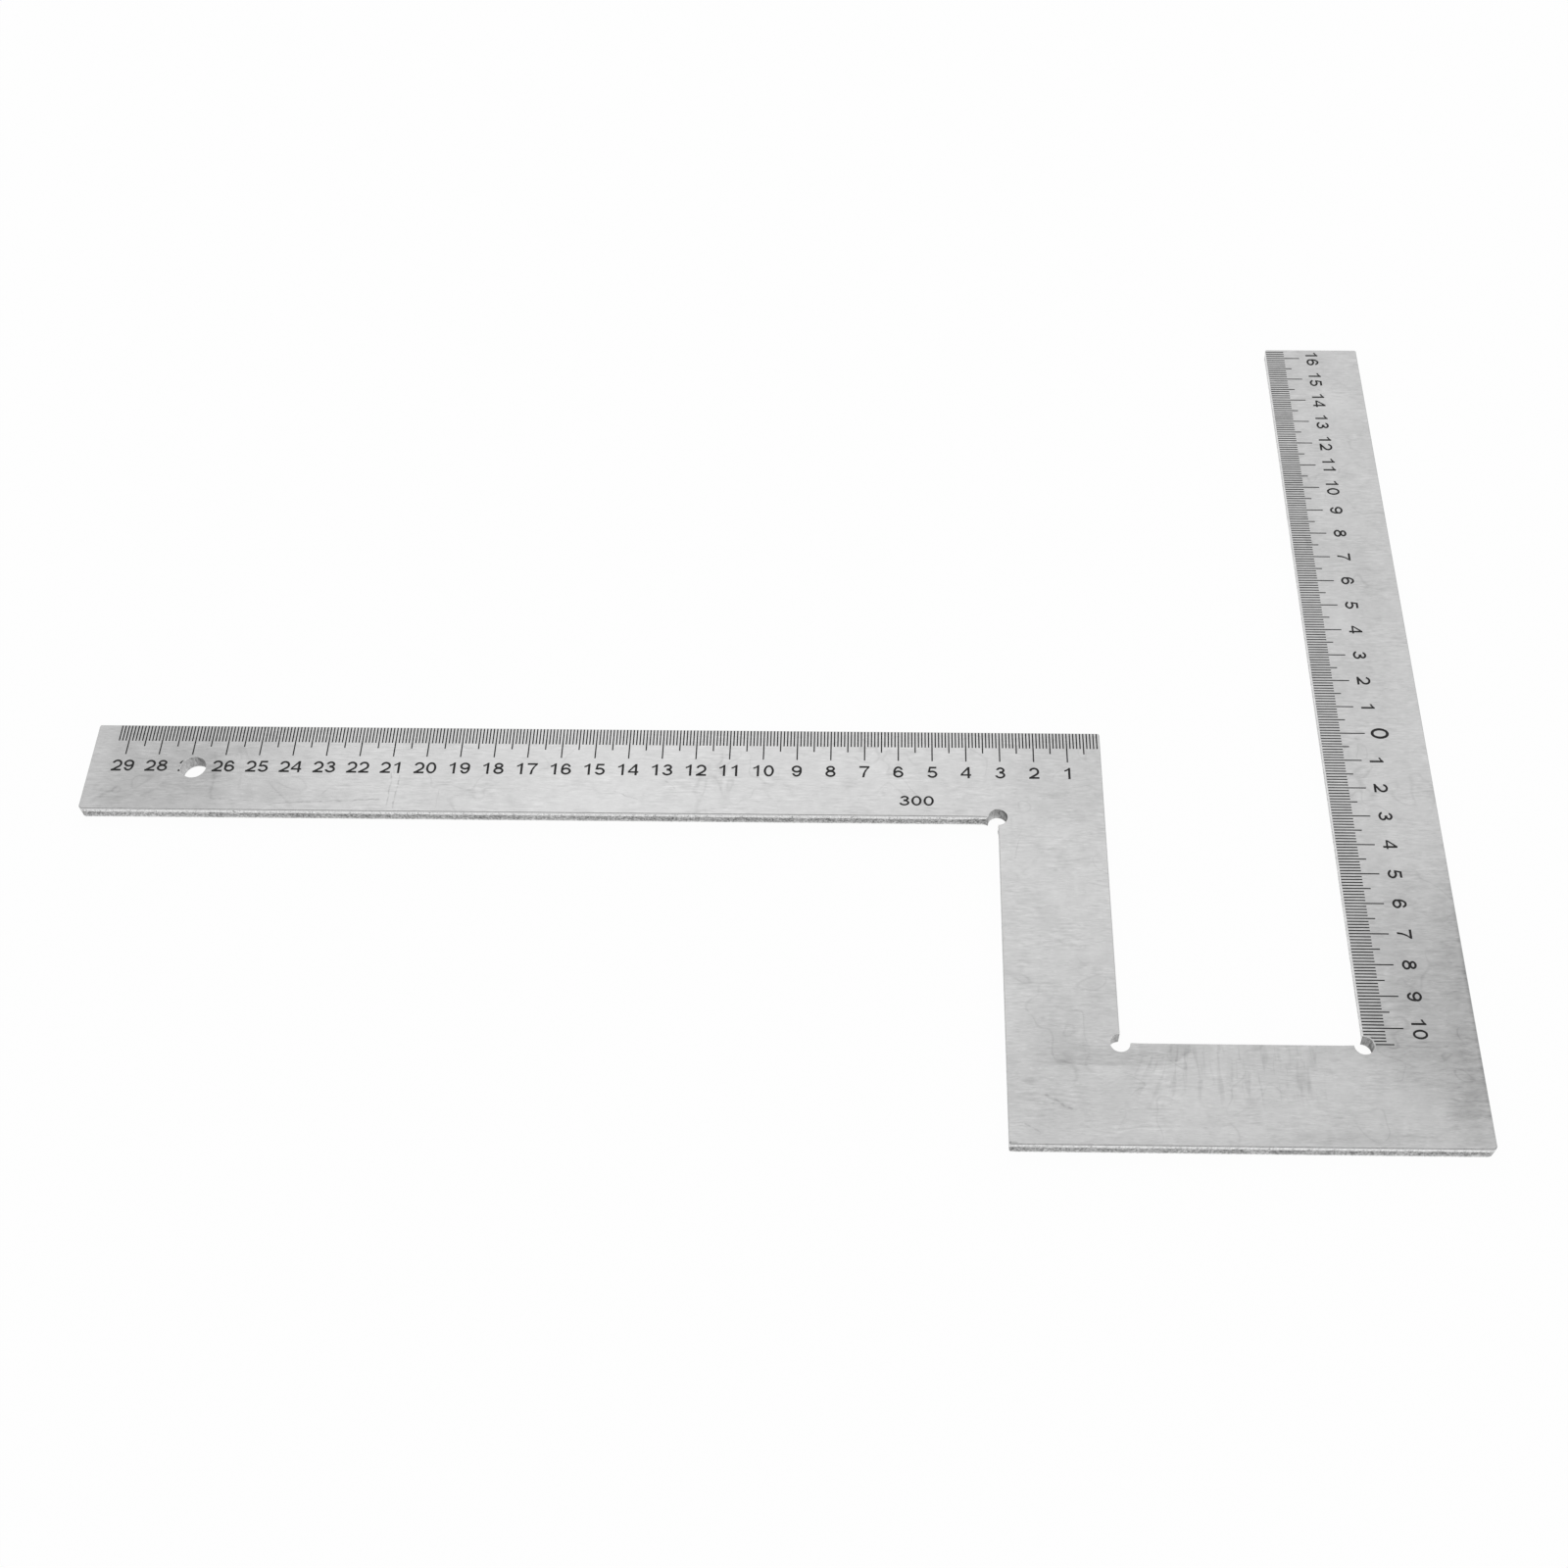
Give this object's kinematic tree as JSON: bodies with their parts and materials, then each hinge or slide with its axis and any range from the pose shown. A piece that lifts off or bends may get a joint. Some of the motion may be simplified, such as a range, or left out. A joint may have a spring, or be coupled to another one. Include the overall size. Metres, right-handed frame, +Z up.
{
  "type": "steel square ruler",
  "caption": "Flat cranked steel square: a graduated long arm, a neck and base round an open gap, and a graduated tall arm, with drilled corner reliefs and a hang hole.",
  "frame": {"origin": "the corner of the long arm where its scale starts, on the underside that the square lies on", "axes": "+Z up out of the marked face, the long arm runs from the origin towards -X, the tall arm is parallel to Y on the far side of the gap, and the base lies towards -Y"},
  "size_m": [0.3967, 0.3, 0.0048],
  "materials": {
    "steel": "finely brushed, uncoated",
    "enamel": "matt black fill in etched recesses"
  },
  "bodies": {
    "root": {"steel_plate": "steel", "long_scale_mm_marks": "enamel", "long_scale_five_marks": "enamel", "long_scale_cm_marks": "enamel", "long_scale_numerals": "enamel", "size_numeral": "enamel", "tall_scale_mm_marks": "enamel", "tall_scale_five_marks": "enamel", "tall_scale_cm_marks": "enamel", "tall_scale_zero_mark": "enamel", "tall_scale_numerals": "enamel", "tall_scale_zero_numeral": "enamel"}
  },
  "joints": []
}
